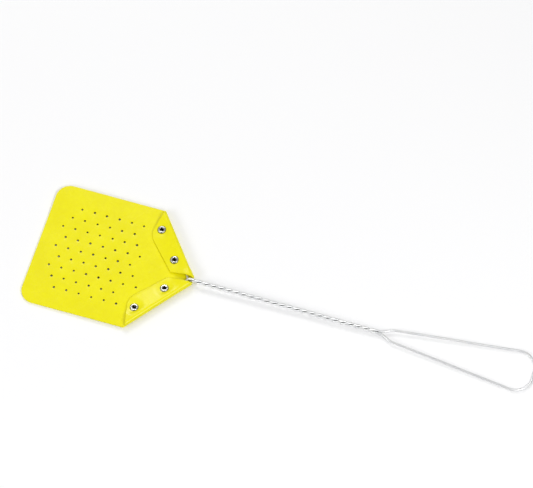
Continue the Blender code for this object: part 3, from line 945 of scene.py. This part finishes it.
def leather_head():
    """The punched sheet with its two flaps folded over the wire."""
    mesh, outline, holes = flat_cut()
    nearest = cut_distance(mesh, outline, holes)
    depths, shares = zip(*edge_depths())
    thickness = np.interp(nearest, depths, shares)
    small_holes = [hole for hole in holes if hole[1] < RIVET_SHANK_RADIUS]
    punched = []
    for v in mesh.verts:
        flat = v.co.xy
        v.co = shaped(flat)
        away = min((flat - centre).length - radius for centre, radius in small_holes)
        # The punched mask, 1 at a small hole's edge, places the painted shade on the hole's rim and
        # wall
        punched.append(1 - smooth_step(away / (2 * EDGE_ROUNDING)))
        v.co.z -= HOLE_DISH * (1 - smooth_step(away / HOLE_DISH_WIDTH))
    data = finished_mesh("leather_head", mesh, punched=punched)
    piece = add_piece("folded_leather", data, "leather", smooth_leather(), cut_leather())
    group = piece.vertex_groups.new(name="thickness")
    for i, share in enumerate(thickness):
        group.add([i], float(share), "REPLACE")
    solidify = piece.modifiers.new("thickness", "SOLIDIFY")
    solidify.thickness = SHEET
    solidify.offset = 0
    solidify.use_even_offset = True
    solidify.vertex_group = "thickness"
    solidify.material_offset_rim = 1
    area = area_of(outline) - sum(math.pi * radius**2 for _, radius in holes)
    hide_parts("leather_head")


# ---------------------------------------------------------------- wire


def twist_z(x):
    """The height of the twist's middle and the loop: an even slope, until the loop rests."""
    slope = (TWIST_Z - WIRE_RADIUS) / (LOOP_END_X - TWIST_X)
    return TWIST_Z - slope * (x - TWIST_X)


def twist_angle(distance):
    """How far the strands have turned since the arms' crossing, stopping smoothly."""
    to_loop = SPLIT_X - TWIST_X - distance
    if to_loop < TWIST_EASE:
        return HALF_TURNS * math.pi - TWIST_RATE * to_loop**2 / (2 * TWIST_EASE)
    return TWIST_RATE * distance


def strand(phase):
    """The points of one strand of the twist, which starts below for phase 0 and above for pi."""
    length = SPLIT_X - TWIST_X
    steps = round(HALF_TURNS / 2 * POINTS_PER_TURN)
    made = []
    for i in range(steps + 1):
        x = length * i / steps
        uneven = UNEVEN_TWIST * math.sin(math.pi * x / length)
        uneven *= wave(x, 0, UNEVEN_TWIST_LENGTH, TWIST_SEED)
        angle = twist_angle(x) + phase + uneven
        aside = -STRAND_OFFSET * math.sin(angle)
        above = -STRAND_OFFSET * math.cos(angle)
        made.append(Vector((TWIST_X + x, aside, twist_z(TWIST_X + x) + above)))
    return made


def arm(side, crossing_z):
    """The arm in the +Y or -Y fold, from its end to where it crosses the other."""
    lay = math.atan(STRAND_OFFSET * TWIST_RATE)
    bend = Vector((-math.cos(lay), math.sin(lay))) * ARM_BEND_FROM_CROSSING
    path = filleted(
        [
            (on_pattern(ARM_END_FROM_CORNER, 0), 0),
            (on_pattern(ARM_LEAVES_FOLD, 0), ARM_EASE_RADIUS),
            (Vector((TWIST_X, 0)) + bend, ARM_BEND_RADIUS),
            (Vector((TWIST_X, 0)), 0),
        ]
    )
    path = subdivided(path, ARM_POINT_STEP)
    path.reverse()
    made, walked = [], 0.0  # from the crossing back
    for a, b in zip(path, path[1:]):
        walked += (b - a).length
        share = smooth_step(1 - walked / ARM_RISE_LENGTH)
        made.append(Vector((b.x, side * b.y, WIRE_Z + (crossing_z - WIRE_Z) * share)))
    return made[::-1]


def wire_path():
    """The whole wire: an arm, a strand, the loop, the other strand and the other arm."""
    far_side = [
        (Vector((SPLIT_X, STRAND_OFFSET)), 0),
        (Vector((SPLIT_X + TWIST_EASE / 2, STRAND_OFFSET)), FLARE_RADIUS),
        (Vector((SPLIT_X + FLARE_LENGTH, FLARE_WIDTH / 2)), FLARE_RADIUS),
        (Vector((LOOP_END_X, LOOP_WIDTH / 2)), CROWN_RADIUS),
    ]
    near_side = mirrored(far_side)[::-1]
    loop = subdivided(filleted(near_side + far_side[::-1]), LOOP_POINT_STEP)[1:-1]
    return [
        *arm(1, LOW_STRAND_Z),
        *strand(0),
        *(Vector((p.x, p.y, twist_z(p.x))) for p in loop),
        *reversed(strand(math.pi)),
        *reversed(arm(-1, LOW_STRAND_Z + 2 * STRAND_OFFSET)),
    ]


def hand_bent(point):
    """The path with the slight waver of a wire bent by hand, still inside the folds."""
    amount = HAND_BENT * smooth_step((point.x - TWIST_X) / HAND_BENT_START)
    amount *= smooth_step((LOOP_END_X - point.x) / HAND_BENT_END)
    seed = HANDLE_SEED if point.x < SPLIT_X or point.y > 0 else LOOP_SEED
    return point + Vector((0, amount * wave(point.x, 0, HAND_BENT_LENGTH, seed), 0))


def groove(point):
    """0 to 1: how deep in the groove between the twist's two strands, which sets the painted shade
    there.
    """
    if not TWIST_X - TWIST_START < point.x < SPLIT_X:
        return 0.0
    from_axis = math.hypot(point.y, point.z - twist_z(point.x))
    return 1 - smooth_step((from_axis - GROOVE_DARK) / GROOVE_FADE)


def tube(path, radius, sides):
    """A round bar along a path, without twist, its two ends cut off square."""
    mesh = bmesh.new()
    turns = [2 * math.pi * k / sides for k in range(sides)]
    rings = []
    ahead = (path[1] - path[0]).normalized()
    up = ahead.orthogonal().normalized()
    for i, point in enumerate(path):
        before, after = path[max(i - 1, 0)], path[min(i + 1, len(path) - 1)]
        turned = (after - before).normalized()
        up.rotate(ahead.rotation_difference(turned))
        ahead = turned
        up = (up - ahead * up.dot(ahead)).normalized()
        aside = ahead.cross(up)
        outwards = [math.cos(turn) * up + math.sin(turn) * aside for turn in turns]
        rings.append([mesh.verts.new(point + radius * out) for out in outwards])
    for a, b in zip(rings, rings[1:]):
        for k in range(sides):
            j = (k + 1) % sides
            mesh.faces.new((a[k], a[j], b[j], b[k])).smooth = True
    mesh.faces.new(rings[0][::-1])
    mesh.faces.new(rings[-1])
    for cap in (rings[0], rings[-1]):
        for k in range(sides):
            mesh.edges.get((cap[k], cap[(k + 1) % sides])).smooth = False
    bmesh.ops.recalc_face_normals(mesh, faces=mesh.faces)
    return mesh


def twisted_wire():
    """One wire, bent double: it makes the arms, the twisted shaft and the loop."""
    mesh = tube([hand_bent(point) for point in wire_path()], WIRE_RADIUS, WIRE_SIDES)
    groove_shades = [groove(v.co) for v in mesh.verts]
    data = finished_mesh("twisted_wire", mesh, groove=groove_shades)
    piece = add_piece("twisted_wire", data, "wire", galvanised_wire())
    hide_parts("wire_handle")


# ---------------------------------------------------------------- rivets


def arc(centre, width, height, start, end, steps):
    """(radius, height) points of a round or oval arc, its angles in degrees, 0 outwards."""
    made = []
    for i in range(steps + 1):
        angle = math.radians(start + (end - start) * i / steps)
        made.append((centre[0] + width * math.cos(angle), centre[1] + height * math.sin(angle)))
    return made


def rivet_profile(flap_top, sheet_bottom):
    """(radius, height) of a set rivet, from its crown up over the rolled ring to its bore."""
    head, shank, bore = RIVET_HEAD_RADIUS, RIVET_SHANK_RADIUS, RIVET_BORE_RADIUS
    rim = (head - RIVET_RIM, sheet_bottom - RIVET_RIM)
    under = flap_top - CLINCH_SINK
    rise = CLINCH_HEIGHT - CLINCH_UNDERCUT
    curl = (CLINCH_RADIUS - CLINCH_UNDERCUT, under + CLINCH_UNDERCUT)
    edge = (CLINCH_RADIUS - CLINCH_ROLL, curl[1])
    mouth = (bore + CLINCH_ROLL, under + CLINCH_HEIGHT - CLINCH_ROLL)
    floor = SHEET_Z + BORE_FLOOR
    return [
        *arc((0, DOME_HEIGHT), head * DOME_SHARE, DOME_HEIGHT, -90, -13, 7),
        *arc(rim, RIVET_RIM, RIVET_RIM, -40, 90, 5),
        (shank + SHANK_FILLET, sheet_bottom),
        (shank, sheet_bottom + SHANK_FILLET),
        (shank, flap_top - 2 * SHANK_FILLET),
        *arc(curl, CLINCH_UNDERCUT, CLINCH_UNDERCUT, -110, -12, 7),
        *arc(edge, CLINCH_ROLL, rise, 0, 85, 12),
        *arc(mouth, CLINCH_ROLL, CLINCH_ROLL, 93, 178, 12),
        (bore * BORE_DRAFT, floor + BORE_CORNER),
        (bore * BORE_FLOOR_SHARE, floor),
        (0.0, floor - BORE_TIP),
    ]


def flap_at(centre):
    """The height of the flap's middle surface at a rivet, and its slope there."""
    side = math.copysign(1, centre.y)
    along = (Vector((centre.x, abs(centre.y))) - CORNER).dot(FOLD_DIRECTION)
    inner, outer = (
        shaped(Vector((1, side)) * on_pattern(along, flat_distance(RIVET_FROM_FOLD + reach)))
        for reach in (CLINCH_RADIUS, -CLINCH_RADIUS)
    )
    across = outer.xy - inner.xy
    return (inner.z + outer.z) / 2, across * (outer.z - inner.z) / across.length_squared


def turned_profile(profile):
    """The closed bmesh that a (radius, height) profile makes, turned round the z axis."""
    mesh = bmesh.new()
    points = [mesh.verts.new((r, 0, z)) for r, z in profile]
    edges = [mesh.edges.new(pair) for pair in zip(points, points[1:])]
    bmesh.ops.spin(
        mesh,
        geom=points + edges,
        cent=(0, 0, 0),
        axis=(0, 0, 1),
        angle=2 * math.pi,
        steps=RIVET_SEGMENTS,
        use_merge=True,
    )
    bmesh.ops.remove_doubles(mesh, verts=mesh.verts, dist=WELD_DISTANCE)
    bmesh.ops.recalc_face_normals(mesh, faces=mesh.faces)
    return mesh


def roughen_clinch(mesh, flap_top, tilt, seed, splits):
    """Makes the rolled ring uneven and split here and there, and tilts it with the flap."""
    for v in mesh.verts:
        radius, angle = v.co.xy.length, math.atan2(v.co.y, v.co.x)
        if radius < RING_START or v.co.z < flap_top - RING_DEPTH:
            continue
        outer = smooth_step((radius - RIVET_SHANK_RADIUS) / (CLINCH_RADIUS - RIVET_SHANK_RADIUS))
        round_ring = CLINCH_UNEVEN_WAVES * Vector((math.cos(angle), math.sin(angle), 0))
        uneven = CLINCH_UNEVEN * noise.noise(round_ring + Vector((0, 0, seed)))
        nearest = min(abs((angle - s + math.pi) % (2 * math.pi) - math.pi) for s in splits)
        notch = SPLIT_DEPTH * outer * (1 - smooth_step(nearest / SPLIT_WIDTH))
        grown = 1 + (uneven - notch) * outer / radius
        v.co.x *= grown
        v.co.y *= grown
        v.co.z += tilt.dot(v.co.xy) - notch * SPLIT_DROP


def rivet(name, centre, metal, bore):
    """A semi-tubular rivet: low domed head behind, and its end rolled outwards in front."""
    seed = chance.uniform(0, 50)
    flap_z, tilt = flap_at(centre)
    flap_top = flap_z + SHEET / 2
    sheet_bottom = SHEET_Z - SHEET / 2 - RIVET_DIMPLE
    splits = [
        (i + chance.uniform(-SPLIT_STRAY, SPLIT_STRAY)) * 2 * math.pi / CLINCH_SPLITS
        for i in range(CLINCH_SPLITS)
    ]
    mesh = turned_profile(rivet_profile(flap_top, sheet_bottom))
    dark_top = flap_top + CLINCH_HEIGHT * DARK_SHARE
    for f in mesh.faces:
        middle = f.calc_center_median()
        f.smooth = True
        # Faces in the bore and near its mouth take the bore's painted shade
        inside = middle.xy.length < RIVET_BORE_RADIUS + BORE_SHADE_SPREAD
        f.material_index = 1 if inside and sheet_bottom < middle.z < dark_top else 0
    roughen_clinch(mesh, flap_top, tilt, seed, splits)
    data = finished_mesh(f"rivet_{name}", mesh)
    data.set_sharp_from_angle(angle=SHARP_ANGLE)
    piece = add_piece(f"set_rivet_{name}", data, "rivets", metal, bore)
    piece.location = (*centre, 0)
    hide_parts(f"rivet_{name}")


# ---------------------------------------------------------------- the scene


def main():
    camera()
    studio()
    twisted_wire()
    leather_head()
    metal, bore = nickel_plate(), shaded_bore()
    for name, centre in RIVET_CENTRES.items():
        rivet(name, centre, metal, bore)


main()
